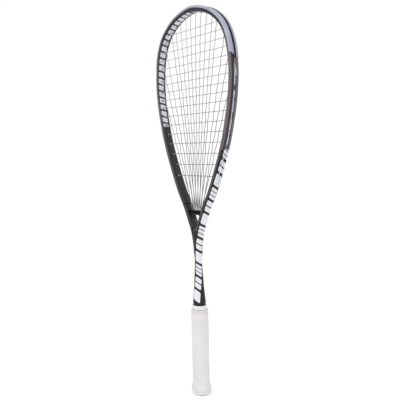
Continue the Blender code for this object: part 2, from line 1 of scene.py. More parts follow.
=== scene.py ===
"""Looks of the squash racket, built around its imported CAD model.

Metres, +Z up along the handle. X runs across the head, Y is normal to the strings.
"""
import math

import bmesh
import bpy
from mathutils import Matrix, Vector


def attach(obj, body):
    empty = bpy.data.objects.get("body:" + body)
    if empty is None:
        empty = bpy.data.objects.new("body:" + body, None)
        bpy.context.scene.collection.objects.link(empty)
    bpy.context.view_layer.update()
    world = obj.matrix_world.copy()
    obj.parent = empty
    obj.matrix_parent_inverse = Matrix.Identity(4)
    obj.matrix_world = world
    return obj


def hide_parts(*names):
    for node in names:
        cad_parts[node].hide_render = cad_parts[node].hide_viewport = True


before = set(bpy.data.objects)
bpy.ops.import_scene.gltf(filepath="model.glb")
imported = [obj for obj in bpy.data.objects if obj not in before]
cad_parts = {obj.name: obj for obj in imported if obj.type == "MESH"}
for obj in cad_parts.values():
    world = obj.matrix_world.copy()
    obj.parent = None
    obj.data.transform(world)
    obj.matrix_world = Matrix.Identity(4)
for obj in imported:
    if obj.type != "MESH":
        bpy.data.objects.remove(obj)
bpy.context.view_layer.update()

# ------ dimensions
RIM_THICKNESS = 0.0092  # hoop section, in the plane of the strings
RIM_DEPTH = 0.0185  # hoop section, normal to the strings
RIM_CORNER = 0.0040  # rounding of the hoop section

# Centreline of one side of the hoop, from the shaft to the top: (half width, height).
CENTRELINE = (
    (0.0026, 0.2350), (0.0036, 0.2620), (0.0046, 0.2835), (0.0095, 0.3060),
    (0.0245, 0.3392), (0.0431, 0.3712), (0.0625, 0.4128), (0.0791, 0.4545),
    (0.0904, 0.4959), (0.0972, 0.5309), (0.0998, 0.5680), (0.0959, 0.6040),
    (0.0878, 0.6284), (0.0751, 0.6475), (0.0542, 0.6641), (0.0305, 0.6744),
    (0.0000, 0.6799),
)
LEG_TAPER = ((0.235, 0.45), (0.262, 0.68), (0.315, 1.0))  # (height, section scale)

GROOVE_DEPTH = 0.0024
GROOVE_HALF = 0.0032
GROOVE_END = 0.3860  # height where the groove starts on each side

GAP = 0.0003  # clearance between neighbouring pieces
STRING_RADIUS = 0.0006
WEAVE = 0.00075  # height of a string over the plane where it crosses another
LANE = 0.0014  # strings leave the hoop beside the plane: mains +, crosses -
BASE_THICKNESS = 0.0008  # grommet strip
BASE_HALF = 0.0029
CHANNEL_HALF = 0.0023  # string channel in the bumper
TIP_PROUD = 0.0008  # how far a grommet tip stands out of the hoop
SHELTERED = 0.006  # strings keep their lanes this close to the hoop
SHELTERED_WEAVE = 0.0009  # distance from the plane there
KNOT = (  # (distance inside the hoop, thickness)
    (0.0, 1.0), (0.0006, 1.0), (0.0010, 2.4), (0.0030, 2.4), (0.0034, 1.0), (0.0055, 1.0),
)

CROSS_COUNT = 17
CROSS_TOP = 0.6489
CROSS_PITCH = 0.01425
CROSS_SPREAD = 0.00038  # extra drop of the lower crosses
CROSS_EVEN = 8  # crosses above this one are evenly spaced

MAIN_PAIRS = 8
MAIN_PITCH = 0.00178  # spacing of the main strings at the bridge
# How far each pair of mains leans outwards per metre of height, inner pair first.
MAIN_LEAN = (0.0175, 0.0549, 0.0932, 0.1356, 0.1700, 0.2400, 0.2989, 0.3640)
STRAIGHT_PAIRS = 5  # inner pairs; the outer ones turn square into the hoop
BRIDGE_STAGGER = 0.0020
BRIDGE_DRAW = 18.0  # how the bridge's holes draw together, per metre of height

BUMPER_END = 0.5850
BUMPER_OUT = 0.0013
STRIP_TOP = 0.5842

BRIDGE_TOP = 0.3350
BRIDGE_BOTTOM = 0.3295
BRIDGE_HALF_DEPTH = 0.0078

HANDLE_FLATTEN = 0.894  # handle depth over handle width
FLATTEN_FROM = 0.205
FLATTEN_TO = 0.163
# Outside of the shaft: (radius, height), from the crotch down to the collar.
SHAFT_PROFILE = (
    (0.0040, 0.3080), (0.0072, 0.3020), (0.0088, 0.2940), (0.0084, 0.2830),
    (0.0070, 0.2620), (0.0068, 0.2400), (0.0080, 0.2180), (0.0093, 0.1960),
    (0.0123, 0.1720), (0.0121, 0.1668),
)
SHAFT_FOOT = ((0.0112, 0.1578), (0.0105, 0.1540))  # its end, out of sight in the collar

PALLET_TOP = 0.1578
PALLET_RADIUS = 0.0145
COLLAR_TOP = 0.1650
BUTT_HEIGHT = 0.0300
GRIP_TOP = 0.1512
GRIP_RADIUS = 0.0169
FLARE_RADIUS = 0.0194


# ------ the hoop's line
def catmull_rom(before, start, end, after, t):
    """Point between start and end on a smooth curve through the four."""
    return tuple(
        0.5 * (2 * b + (c - a) * t + (2 * a - 5 * b + 4 * c - d) * t * t
               + (3 * b - a - 3 * c + d) * t ** 3)
        for a, b, c, d in zip(before, start, end, after)
    )


def curve_through(knots, per_span):
    """Points on a smooth curve from the second knot to the last but one."""
    points = []
    for i in range(1, len(knots) - 2):
        for k in range(per_span):
            points.append(catmull_rom(*knots[i - 1:i + 3], k / per_span))
    return points + [knots[-2]]


def resample(points, step):
    """Points evenly spaced along a line, both ends kept."""
    lengths = [0.0]
    for a, b in zip(points, points[1:]):
        lengths.append(lengths[-1] + (b - a).length)
    count = max(2, round(lengths[-1] / step))
    result = []
    k = 0
    for i in range(count + 1):
        want = lengths[-1] * i / count
        while k < len(lengths) - 2 and lengths[k + 1] < want:
            k += 1
        share = (want - lengths[k]) / (lengths[k + 1] - lengths[k])
        result.append(points[k].lerp(points[k + 1], share))
    return result


def hoop_line(step):
    """Centreline from the left leg's foot, over the top, to the right leg's foot."""
    mirrored = (-CENTRELINE[-2][0], CENTRELINE[-2][1])
    first = tuple(2 * a - b for a, b in zip(CENTRELINE[0], CENTRELINE[1]))
    side = curve_through((first, *CENTRELINE, mirrored), 12)
    right = resample([Vector(p) for p in side], step)
    left = [Vector((-p.x, p.y)) for p in right]
    return left + right[-2::-1]


def outward(points, i):
    """Unit normal pointing out of the hoop at point i of a left-to-right line."""
    a = points[max(i - 1, 0)]
    b = points[min(i + 1, len(points) - 1)]
    along = (b - a).normalized()
    return Vector((-along.y, along.x))


def offset_line(points, distance):
    """The line moved outwards by a distance."""
    return [p + outward(points, i) * distance for i, p in enumerate(points)]


def between(points, low, high=1.0):
    """The part of a line whose height lies between two values, cut to end on them."""
    kept = []
    for a, b in zip(points, points[1:]):
        ends = []
        for level in (low, high):
            if (a.y - level) * (b.y - level) < 0:
                ends.append(a.lerp(b, (level - a.y) / (b.y - a.y)))
        inside = [p for p in (a, b) if low <= p.y <= high]
        if not kept or inside:
            span = sorted(inside + ends, key=lambda p: (p - a).length)
            kept += [p for p in span if not kept or (p - kept[-1]).length > 0.001]
    return kept


FINE = hoop_line(0.002)


def meet_hoop(start, direction, distance):
    """Where a ray in the plane first crosses the hoop's line moved by a distance."""
    line = offset_line(FINE, distance)
    across = Vector((-direction.y, direction.x))
    best = None
    for i in range(len(line) - 1):
        a = (line[i] - start).dot(across)
        b = (line[i + 1] - start).dot(across)
        if a * b > 0 or a == b:
            continue
        point = line[i].lerp(line[i + 1], a / (a - b))
        reach = (point - start).dot(direction)
        if reach > 0 and (best is None or reach < best[0]):
            best = (reach, point, outward(FINE, i))
    return best[1], best[2]


# ------ string layout
HALF_RIM = RIM_THICKNESS / 2
STRING_LEVEL = HALF_RIM - GROOVE_DEPTH + GAP + BASE_THICKNESS + GAP + STRING_RADIUS


def grommet(start, direction, square):
    """Mouth, exit and axis of one grommet hole through the hoop, in the string plane."""
    mouth, normal = meet_hoop(start, direction, -HALF_RIM - TIP_PROUD - GAP)
    axis = normal if square else (normal + direction).normalized()
    leave, _ = meet_hoop(mouth, axis, STRING_LEVEL)
    return {"mouth": mouth, "leave": leave, "axis": axis}


def main_line(k):
    """Foot of main string k on the bridge and its direction, k from left to right."""
    pair = MAIN_PAIRS - 1 - k if k < MAIN_PAIRS else k - MAIN_PAIRS
    side = -1 if k < MAIN_PAIRS else 1
    foot = Vector((side * MAIN_PITCH * (pair + 0.5), BRIDGE_TOP))
    lean = Vector((side * MAIN_LEAN[pair], 1.0)).normalized()
    return foot, lean, pair


def nearest(place):
    """Index of the hoop's point that is nearest to a place."""
    return min(range(len(FINE)), key=lambda i: (FINE[i] - place).length)


def tie_hole(first, second):
    """A spare hole midway between two others, where a string's end comes back in to its knot."""
    centre = nearest(first["leave"].lerp(second["leave"], 0.5))
    axis = outward(FINE, centre)
    mouth = FINE[centre] - axis * (HALF_RIM + TIP_PROUD + GAP)
    return {"mouth": mouth, "leave": FINE[centre] + axis * STRING_LEVEL, "axis": axis}


# Heights of the cross strings, top first.
HEIGHTS = [
    CROSS_TOP - CROSS_PITCH * i - CROSS_SPREAD * max(0, i - CROSS_EVEN) ** 2
    for i in range(CROSS_COUNT)
]
MAIN_COUNT = 2 * MAIN_PAIRS
CROSS_HOLES = {}
for row, height in enumerate(HEIGHTS):
    for turn in (-1, 1):
        CROSS_HOLES[row, turn] = grommet(Vector((0, height)), Vector((turn, 0)), False)
MAIN_HOLES = {}
for column in range(MAIN_COUNT):
    base, way, pair_index = main_line(column)
    MAIN_HOLES[column] = grommet(base, way, pair_index >= STRAIGHT_PAIRS)
CROSS_TIES = {
    -1: tie_hole(CROSS_HOLES[0, -1], CROSS_HOLES[1, -1]),
    1: tie_hole(CROSS_HOLES[CROSS_COUNT - 1, 1], CROSS_HOLES[CROSS_COUNT - 2, 1]),
}
MAIN_TIES = {side: tie_hole(CROSS_HOLES[6, side], CROSS_HOLES[5, side]) for side in (-1, 1)}
HOLES = [(hole, -LANE) for hole in (*CROSS_HOLES.values(), *CROSS_TIES.values())]
HOLES += [(hole, LANE) for hole in (*MAIN_HOLES.values(), *MAIN_TIES.values())]


def in_space(point, depth):
    """A point of the string plane, moved along Y."""
    return Vector((point.x, depth, point.y))


def groove_run(first, second, depth):
    """Points along the groove from one hole's exit to the next one's."""
    start, end = nearest(first), nearest(second)
    step = 4 if end > start else -4
    line = offset_line(FINE, STRING_LEVEL)
    inside = [line[i] for i in range(start + step, end - step // 2, step)]
    return [in_space(p, depth) for p in [first] + inside + [second]]


def knot(hole, depth):
    """The end of a string inside the hoop: (point, thickness) with a knot."""
    mouth = in_space(hole["mouth"], depth)
    axis = in_space(hole["axis"], 0.0)
    return [(mouth - axis * inside, width) for inside, width in KNOT]


def knotted(route, ties, depth):
    """A whole string as (point, thickness), from one knot to the other."""
    return (knot(ties[-1], depth)[::-1] + [(point, 1.0) for point in route]
            + knot(ties[1], depth))


def crossings(k):
    """Where main string k meets the crosses, top first: (row, point, sheltered)."""
    foot, lean, _ = main_line(k)
    top = MAIN_HOLES[k]["mouth"]
    found = []
    for row, height in enumerate(HEIGHTS):
        if height > top.y - 0.001:
            continue
        x = foot.x + lean.x / lean.y * (height - foot.y)
        point = Vector((x, height))
        reaches = [abs(CROSS_HOLES[row, side]["mouth"].x - x) for side in (-1, 1)]
        found.append((row, point, min((top - point).length, *reaches) < SHELTERED))
    return found


def weave_depth(row, column, sheltered):
    """How far the main lies in front of the plane at a crossing."""
    if sheltered:
        return SHELTERED_WEAVE
    return WEAVE if (row + column) % 2 == 0 else -WEAVE


def bridge_point(k, height):
    """Point of main string k near the bridge, whose holes are staggered and draw together."""
    foot = main_line(k)[0]
    x = foot.x * (1.0 + BRIDGE_DRAW * (height - foot.y))
    return Vector((x, BRIDGE_STAGGER if k % 2 == 0 else -BRIDGE_STAGGER, height))


BRIDGE_STRING = BRIDGE_BOTTOM - 2 * GAP - BASE_THICKNESS - STRING_RADIUS


def main_route():
    """The main string, from its left knot to its right knot."""
    route = groove_run(MAIN_TIES[-1]["leave"], MAIN_HOLES[0]["leave"], LANE)
    for k in range(MAIN_COUNT):
        leg = [in_space(MAIN_HOLES[k]["mouth"], LANE)]
        for row, point, sheltered in crossings(k):
            leg.append(in_space(point, weave_depth(row, k, sheltered)))
        leg.append(bridge_point(k, BRIDGE_TOP + TIP_PROUD + GAP))
        leg.append(bridge_point(k, BRIDGE_STRING))
        if k % 2 == 0:
            route += leg
        else:
            goal = MAIN_TIES[1] if k == MAIN_COUNT - 1 else MAIN_HOLES[k + 1]
            route += leg[::-1] + groove_run(MAIN_HOLES[k]["leave"], goal["leave"], LANE)
    return knotted(route, MAIN_TIES, LANE)


def cross_route():
    """The cross string, from its upper knot to its lower knot."""
    route = groove_run(CROSS_TIES[-1]["leave"], CROSS_HOLES[0, -1]["leave"], -LANE)
    for row in range(CROSS_COUNT):
        side = 1 if row % 2 == 0 else -1
        line = [in_space(CROSS_HOLES[row, -1]["mouth"], -LANE)]
        for column in range(MAIN_COUNT):
            for met, point, sheltered in crossings(column):
                if met == row:
                    line.append(in_space(point, -weave_depth(row, column, sheltered)))
        line.append(in_space(CROSS_HOLES[row, 1]["mouth"], -LANE))
        goal = CROSS_TIES[1] if row == CROSS_COUNT - 1 else CROSS_HOLES[row + 1, side]
        route += line[::side]
        route += groove_run(CROSS_HOLES[row, side]["leave"], goal["leave"], -LANE)
    return knotted(route, CROSS_TIES, -LANE)


# ------ looks: dimensions
FINE_STEP = 0.0030  # spacing of the sections along the hoop
THROAT_CUT = 0.3450  # below this the legs and the shaft are one blended skin
THROAT_VOXEL = 0.00055
THROAT_LAP = 0.012  # the legs run on this far into the hoop before they are cut
FIT = 0.00005  # clearance under the guard and the strips
CAMERA_TURN = 50.79  # degrees, the camera's heading about Z
CAMERA_DIP = 5.43  # degrees, how far the camera looks down
CAMERA_ROLL = -1.33  # degrees
CAMERA_DISTANCE = 0.9281
CAMERA_TARGET = (0.00524, 0.35370)  # middle of the picture: (sideways, height)
CAMERA_LENS = 47.25  # millimetres on a 36 mm sensor
LAMPS = (  # (name, watts, size, place)
    ("key", 13.0, 1.4, (0.2, -1.7, 1.5)),
    ("fill", 6.0, 1.6, (1.9, 0.3, 1.0)),
)

# The graphics lie on the side that faces VIEW and, after half a turn, on the other side.
VIEW = Vector((0.775, -0.632, 0.0))
ACROSS = Vector((0.632, 0.775, 0.0))
# The graphics band down the leg and the shaft: (height, centre, half width) along ACROSS.
BAND = (
    (0.1700, -0.0050, 0.0060), (0.1780, -0.0045, 0.0060), (0.2180, 0.0002, 0.0056),
    (0.2600, 0.0012, 0.0058), (0.2820, 0.0036, 0.0062), (0.3080, 0.0092, 0.0064),
    (0.3310, 0.0158, 0.0062), (0.3760, 0.0312, 0.0056), (0.4100, 0.0420, 0.0052),
    (0.4370, 0.0505, 0.0048), (0.4600, 0.0560, 0.0046),
)
BAND_FOOT = 0.1692
BAND_PITCH = 0.0230
BAND_TOP = 0.4405
BAND_SHAFT = 0.3000  # below this the band wraps round its side of the shaft
BAND_FACING = (0.12, 0.3)  # least part of the normal along VIEW and along X
# The row of blocks inside the hoop.
INNER_PITCH = 0.0122
INNER_HALF = 0.0055  # of its width, about INNER_CENTRE
INNER_CENTRE = 0.0018
INNER_LOW = 0.4870
INNER_START = 0.0050  # distance from the top of the hoop
HEAD_CENTRE = 0.5600  # walls that face this height on the axis are inner ones
CROTCH = 0.3180  # the legs have inner walls above this
WALL_FACING = 0.80  # an inner wall's normal has less than this along Y
FAR_EDGE = 0.0026  # the far wall is paler from here on
DARK_EDGE = (-0.0072, -0.0026)  # dark line beside the groove
PAINTED = ("inner_mask", "inner_zone", "inner_along", "inner_across", "band_mask",
           "band_zone", "band_along", "band_across", "far_band", "edge_line")

TIP_RADIUS = 0.00115
TIP_BORE = 0.00072
TIP_SUNK = 0.0012  # the barrels end this far under the string in the groove
GUARD_CUT = Vector((0.0, 0.0060, BUMPER_END + 0.0004))  # point on the plane of its ends
GUARD_SLANT = Vector((0.0, -0.62, -1.0))
EASED = 0.0035  # how far from a string's corner its bend starts
SHORTEST_SPAN = 0.0007
BRIDGE_ARCH = 0.0042
BRIDGE_ROUND = 0.0016

WRAP_PITCH = 0.0270  # spiral of the grip
WRAP_STEP = 0.00025  # how far one turn of the wrap stands over the next
SEAM_DEPTH = 0.00022
SEAM_HALF = 0.0009
WRAP_FADE = (0.020, 0.028)  # the spiral fades in between these heights
FLARE_FADE = (0.0138, 0.0190)  # the flare ends between these
WRAP_SIDES = 120
TURNED_SIDES = 96


# ------ mesh helpers
def add_object(name, data):
    """A new object in the scene."""
    made = bpy.data.objects.new(name, data)
    bpy.context.scene.collection.objects.link(made)
    return made


def evaluated_mesh(source):
    """An object's mesh with its modifiers or its bevel applied."""
    bpy.context.view_layer.update()
    graph = bpy.context.evaluated_depsgraph_get()
    return bpy.data.meshes.new_from_object(source.evaluated_get(graph))


def new_object(name, bm, sharp, material):
    """A smooth-shaded object from a bmesh, its creases sharper than an angle kept."""
    bmesh.ops.recalc_face_normals(bm, faces=bm.faces)
    mesh = bpy.data.meshes.new(name)
    bm.to_mesh(mesh)
    bm.free()
    mesh.shade_smooth()
    mesh.set_sharp_from_angle(angle=math.radians(sharp))
    mesh.materials.append(material)
    return add_object(name, mesh)


def add_loft(bm, rings, hollow=False):
    """A closed skin through rings of points; a hollow one runs from the last to the first."""
    rows = [[bm.verts.new(p) for p in ring] for ring in rings]
    for a, b in zip(rows, rows[1:] + rows[:hollow]):
        for i in range(len(a)):
            j = (i + 1) % len(a)
            bm.faces.new((a[i], a[j], b[j], b[i]))
    if not hollow:
        bm.faces.new(rows[0][::-1])
        bm.faces.new(rows[-1])


def loft(name, rings, material, sharp):
    """One object lofted through rings."""
    bm = bmesh.new()
    add_loft(bm, rings)
    return new_object(name, bm, sharp, material)


def ring_at(point, normal, section):
    """A section of (offset, depth) points placed across the hoop's line."""
    return [
        Vector((point.x + normal.x * u, v, point.y + normal.y * u)) for u, v in section
    ]


def add_sweep(bm, line, section):
    """A section swept along a part of the hoop's line."""
    add_loft(bm, [ring_at(p, outward(line, i), section) for i, p in enumerate(line)])


def arc(centre, radius, start, end, steps):
    """Points along an arc, both ends kept."""
    return [
        (centre[0] + radius * math.cos(start + (end - start) * k / (steps - 1)),
         centre[1] + radius * math.sin(start + (end - start) * k / (steps - 1)))
        for k in range(steps)
    ]


def box_corner(half, radius, q, steps):
    """Corner q of a rounded box section with the given half sizes, from the first quarter."""
    side, level = ((1, 1), (-1, 1), (-1, -1), (1, -1))[q]
    centre = (side * (half[0] - radius), level * (half[1] - radius))
    return arc(centre, radius, q * math.pi / 2, (q + 1) * math.pi / 2, steps)


def lookup(table, x):
    """Linear interpolation in rows of (x, values...), held at both ends."""
    if x <= table[0][0]:
        return table[0][1:]
    for low, high in zip(table, table[1:]):
        if x <= high[0]:
            t = (x - low[0]) / (high[0] - low[0])
            return tuple(a + (b - a) * t for a, b in zip(low[1:], high[1:]))
    return table[-1][1:]


def smoothstep(low, high, x):
    """0 below low, 1 above high, smooth between."""
    t = min(1.0, max(0.0, (x - low) / (high - low)))
    return t * t * (3 - 2 * t)


def set_floats(mesh, name, values):
    """A float attribute, one value per vertex."""
    mesh.attributes.new(name, "FLOAT", "POINT").data.foreach_set("value", values)


# ------ material helpers
class Nodes:
    """Builds one Principled material's node tree."""

    def __init__(self, name, **constants):
        self.material = bpy.data.materials.new(name)
        self.material.use_nodes = True
        self.tree = self.material.node_tree
        self.shader = self.tree.nodes["Principled BSDF"]
        for socket, value in constants.items():
            self.shader.inputs[socket.replace("_", " ")].default_value = value

    def link(self, source, target):
        """Plug a socket or a plain value into an input socket."""
        if isinstance(source, bpy.types.NodeSocket):
            self.tree.links.new(source, target)
        else:
            target.default_value = source

    def node(self, kind, **sources):
        """A new node with some of its inputs plugged or set."""
        made = self.tree.nodes.new("ShaderNode" + kind)
        for socket, source in sources.items():
            self.link(source, made.inputs[socket])
        return made

    def fill(self, made, *sources):
        """Plug a node's inputs in their order and hand back its first output."""
        for source, socket in zip(sources, made.inputs):
            self.link(source, socket)
        return made.outputs[0]

    def math(self, operation, *sources):
        """A Math node's value."""
        made = self.node("Math")
        made.operation = operation
        return self.fill(made, *sources)

    def attribute(self, name, output="Fac"):
        """A mesh attribute's value."""
        made = self.node("Attribute")
        made.attribute_name = name
        return made.outputs[output]

    def object_coordinates(self):
        """Object coordinates, whole and split."""
        whole = self.node("TexCoord").outputs["Object"]
        return whole, self.node("SeparateXYZ", Vector=whole).outputs

    def scaled(self, vector, scale):
        """A vector multiplied per axis."""
        return self.node("Mapping", Vector=vector, Scale=scale).outputs[0]

    def noise(self, vector, scale, detail=3.0, roughness=0.5):
        """A Noise Texture's factor."""
        made = self.node("TexNoise", Vector=vector, Scale=scale, Detail=detail,
                         Roughness=roughness)
        return made.outputs["Fac"]

    def voronoi(self, vector, scale):
        """A Voronoi Texture's distance."""
        return self.node("TexVoronoi", Vector=vector, Scale=scale).outputs["Distance"]

    def ramp(self, *sources):
        """A value mapped from a range to 0 to 1, or to a second range, clamped."""
        return self.fill(self.node("MapRange"), *sources)

    def mix(self, share, a, b):
        """A colour between two."""
        made = self.node("Mix")
        made.data_type = "RGBA"
        self.link(share, made.inputs[0])
        for source, socket in ((a, made.inputs[6]), (b, made.inputs[7])):
            self.link((*source, 1.0) if isinstance(source, tuple) else source, socket)
        return made.outputs[2]

    def finish(self, colour, roughness=None, height=None, strength=0.3, distance=0.0002):
        """Plug the results in and hand back the material."""
        self.link(colour, self.shader.inputs["Base Color"])
        if roughness is not None:
            self.link(roughness, self.shader.inputs["Roughness"])
        if height is not None:
            bump = self.node("Bump", Strength=strength, Distance=distance, Height=height)
            self.link(bump.outputs[0], self.shader.inputs["Normal"])
        return self.material


def blocks(n, kind, gap, slant, cuts):
    """1 on a plain row of slanted blocks, 0 between them and on the cuts of some of them."""
    across = n.attribute(kind + "_across")
    slanted = n.math("MULTIPLY_ADD", across, slant, n.attribute(kind + "_along"))
    cell = n.math("FLOOR", slanted)
    part = n.math("SUBTRACT", slanted, cell)
    off = n.math("ABSOLUTE", n.math("SUBTRACT", part, 0.5 + gap / 2))
    high = n.math("POWER", n.math("DIVIDE", off, 0.5 - gap / 2), 8.0)
    wide = n.math("POWER", n.math("ABSOLUTE", across), 8.0)
    shape = n.math("LESS_THAN", n.math("ADD", wide, high), 1.0)
    if cuts:
        turn = n.math("FLOORED_MODULO", cell, 3.0)
        single = n.math("MULTIPLY", n.math("LESS_THAN", off, 0.045),
                        n.math("COMPARE", turn, 1.0, 0.5))
        double = n.math("MULTIPLY", n.math("COMPARE", off, 0.15, 0.032),
                        n.math("COMPARE", turn, 2.0, 0.5))
        cut = n.math("MAXIMUM", single, double)
        shape = n.math("MULTIPLY", shape, n.math("SUBTRACT", 1.0, cut))
    shape = n.math("MULTIPLY", shape, n.math("GREATER_THAN", slanted, 0.0))
    return n.math("MULTIPLY", shape, n.math("GREATER_THAN", n.attribute(kind + "_zone"), 0.5))


def masked(n, name, colour, over):
    """A colour with another over it where an attribute is high."""
    return n.mix(n.ramp(n.attribute(name), 0.4, 0.6), colour, over)


def banded(n, colour, white):
    """A colour with the leg's black band and its row of white blocks over it."""
    colour = masked(n, "band_mask", colour, (0.008, 0.008, 0.008))
    return n.mix(blocks(n, "band", 0.19, 0.16, True), colour, white)


def mottled(n, place, dark, light):
    """Two close tones in soft patches."""
    return n.mix(n.ramp(n.noise(place, 45.0, 3.0), 0.35, 0.65), dark, light)


def moulded(n, place, colour, low, high):
    """The material with a moulding's fine texture, its roughness between two values."""
    rough = n.ramp(n.noise(place, 220.0, 2.0), 0.3, 0.7, low, high)
    return n.finish(colour, rough, n.noise(place, 2700.0, 2.0), 0.18, 0.0001)


def frame_material():
    """Painted frame: charcoal and brown-grey lacquer, with plain pale blocks."""
    n = Nodes("frame_paint", Coat_Weight=0.10, Coat_Roughness=0.15, Specular_IOR_Level=0.19)
    lay = n.attribute("lay", "Vector")
    height = n.object_coordinates()[1]["Z"]
    streak = n.noise(n.scaled(lay, (420.0, 420.0, 9.0)), 1.0, 4.0, 0.6)
    cloud = n.noise(lay, 60.0, 2.0)
    low = n.mix(n.ramp(streak, 0.48, 0.74), (0.026, 0.026, 0.026), (0.118, 0.118, 0.120))
    brown = n.mix(n.ramp(streak, 0.3, 0.7), (0.088, 0.073, 0.077), (0.138, 0.116, 0.122))
    top = n.mix(streak, (0.009, 0.006, 0.008), (0.022, 0.016, 0.020))
    colour = n.mix(n.ramp(height, 0.37, 0.47), low, brown)
    colour = n.mix(n.ramp(height, 0.600, 0.645), colour, top)
    inner = n.ramp(n.attribute("inner_mask"), 0.3, 0.6)
    colour = n.mix(inner, colour, (0.020, 0.020, 0.021))
    colour = masked(n, "far_band", colour, (0.125, 0.112, 0.125))
    colour = masked(n, "edge_line", colour, (0.020, 0.016, 0.018))
    silver = n.mix(cloud, (0.44, 0.45, 0.48), (0.66, 0.67, 0.70))
    colour = n.mix(blocks(n, "inner", 0.26, 0.10, False), colour, silver)
    colour = banded(n, colour, n.mix(cloud, (0.57, 0.58, 0.615), (0.65, 0.66, 0.70)))
    roughness = n.ramp(n.noise(lay, 400.0, 2.0), 0.3, 0.7, 0.28, 0.42)
    return n.finish(colour, roughness, n.noise(lay, 2600.0, 2.0), 0.12, 0.0001)


def plastic(name, dark, light, roughness, shine=0.5):
    """Moulded plastic with slight mottling."""
    n = Nodes(name, Specular_IOR_Level=shine)
    place = n.object_coordinates()[0]
    colour = mottled(n, place, dark, light)
    return moulded(n, place, colour, roughness - 0.06, roughness + 0.08)


def bumper_material():
    """Glossy lilac-grey guard, with painted shade along both sides of its string channel."""
    n = Nodes("bumper_gloss", Coat_Weight=0.35, Coat_Roughness=0.2)
    place, split = n.object_coordinates()
    colour = mottled(n, place, (0.25, 0.27, 0.34), (0.31, 0.33, 0.41))
    # painted shade: the string channel and its edges are darkened to near-black
    channel_shade = n.math("COMPARE", n.math("ABSOLUTE", split["Y"]), 0.0018, 0.0010)
    colour = n.mix(channel_shade, colour, (0.015, 0.013, 0.018))
    return moulded(n, place, colour, 0.26, 0.40)


def strip_material():
    """Nylon grommet strip: dark, with a pale line broken into dashes along its middle."""
    n = Nodes("grommet_nylon", Specular_IOR_Level=0.4)
    place, split = n.object_coordinates()
    # pale dashes along the middle of the strip
    dashed = n.noise(n.scaled(place, (60.0, 60.0, 75.0)), 1.0, 2.0)
    middle = n.math("COMPARE", n.math("ABSOLUTE", split["Y"]), 0.0, 0.0017)
    pale = n.math("MULTIPLY", middle, n.ramp(dashed, 0.42, 0.50))
    colour = n.mix(n.noise(place, 45.0, 3.0), (0.035, 0.032, 0.036), (0.075, 0.070, 0.078))
    colour = banded(n, n.mix(pale, colour, (0.36, 0.36, 0.41)), (0.60, 0.61, 0.65))
    return moulded(n, place, colour, 0.39, 0.53)


def string_material():
    """Coated multifilament string: grey in the bed, pale in the groove, with painted shade under
    the guard.
    """
    n = Nodes("string_bed", Coat_Weight=0.05, Coat_Roughness=0.18, Specular_IOR_Level=0.2)
    place, split = n.object_coordinates()
    shade = n.mix(n.ramp(split["Z"], 0.36, 0.66), (0.075, 0.074, 0.078), (0.33, 0.325, 0.34))
    tone = n.ramp(n.noise(place, 700.0, 3.0), 0.3, 0.7, 0.0, 0.35)
    shade = n.mix(tone, shade, (0.55, 0.55, 0.57))
    # painted shade: near-black on the strings above the guard's end, pale below it in the open
    # groove
    groove = n.mix(n.ramp(split["Z"], BUMPER_END - 0.012, BUMPER_END - 0.008),
                   (0.62, 0.61, 0.70), (0.02, 0.02, 0.022))
    colour = n.mix(n.attribute("bed"), groove, shade)
    fibres = n.noise(n.scaled(place, (2600.0, 2600.0, 900.0)), 1.0, 2.0)
    return n.finish(colour, n.ramp(fibres, 0.3, 0.7, 0.3, 0.5), fibres, 0.25, 0.0001)


def grip_material():
    """Tacky polyurethane wrap: off-white, with fine pores and a faint spiral seam."""
    n = Nodes("grip_wrap", Sheen_Weight=0.12, Sheen_Roughness=0.5, Specular_IOR_Level=0.3)
    place = n.object_coordinates()[0]
    cloud = n.noise(n.scaled(place, (1.0, 1.0, 0.6)), 55.0, 4.0)
    colour = n.mix(n.ramp(cloud, 0.3, 0.7), (0.560, 0.552, 0.568), (0.625, 0.620, 0.616))
    colour = n.mix(n.ramp(n.attribute("seam"), 0.35, 1.0, 0.0, 0.15), colour, (0.50, 0.49, 0.50))
    pits = n.ramp(n.voronoi(place, 900.0), 0.15, 0.4)
    return n.finish(colour, n.ramp(cloud, 0.3, 0.7, 0.62, 0.78), pits, 0.25, 0.0002)


def tape_material():
    """Finishing tape: pale beige cloth-backed tape."""
    n = Nodes("tape_cloth", Specular_IOR_Level=0.3)
    place = n.object_coordinates()[0]
    colour = n.mix(n.noise(place, 160.0, 3.0), (0.52, 0.495, 0.475), (0.58, 0.56, 0.54))
    weave = n.noise(n.scaled(place, (900.0, 900.0, 2600.0)), 1.0, 2.0)
    return n.finish(colour, 0.7, weave, 0.3, 0.0001)


def foam_material():
    """Dense pallet foam."""
    n = Nodes("pallet_cells", Specular_IOR_Level=0.2)
    place = n.object_coordinates()[0]
    cells = n.voronoi(place, 1400.0)
    colour = n.mix(n.ramp(cells, 0.1, 0.6), (0.05, 0.045, 0.04), (0.13, 0.12, 0.10))
    return n.finish(colour, 0.85, cells, 0.5, 0.0003)


# ------ the frame
def rim_section(groove, scale):
    """Hoop section as (offset, depth), with a string groove of the given share."""
    half = HALF_RIM
    corners = [box_corner((half, RIM_DEPTH / 2), RIM_CORNER, q, 8) for q in range(4)]
    cut = GROOVE_DEPTH * groove
    lip = GROOVE_HALF
    points = [(half, -0.0044), (half, -lip - 0.0004), (half - 0.12 * cut, -lip - 0.0001),
              (half - 0.9 * cut, -lip + 0.0002), (half - cut, -lip + 0.0005)]
    points += [(u, -v) for u, v in reversed(points)]
    points += corners[0] + corners[1] + [(-half, 0.0030), (-half, 0.0), (-half, -0.0030)]
    points += corners[2] + corners[3]
    return [(u * scale, v * scale) for u, v in points]


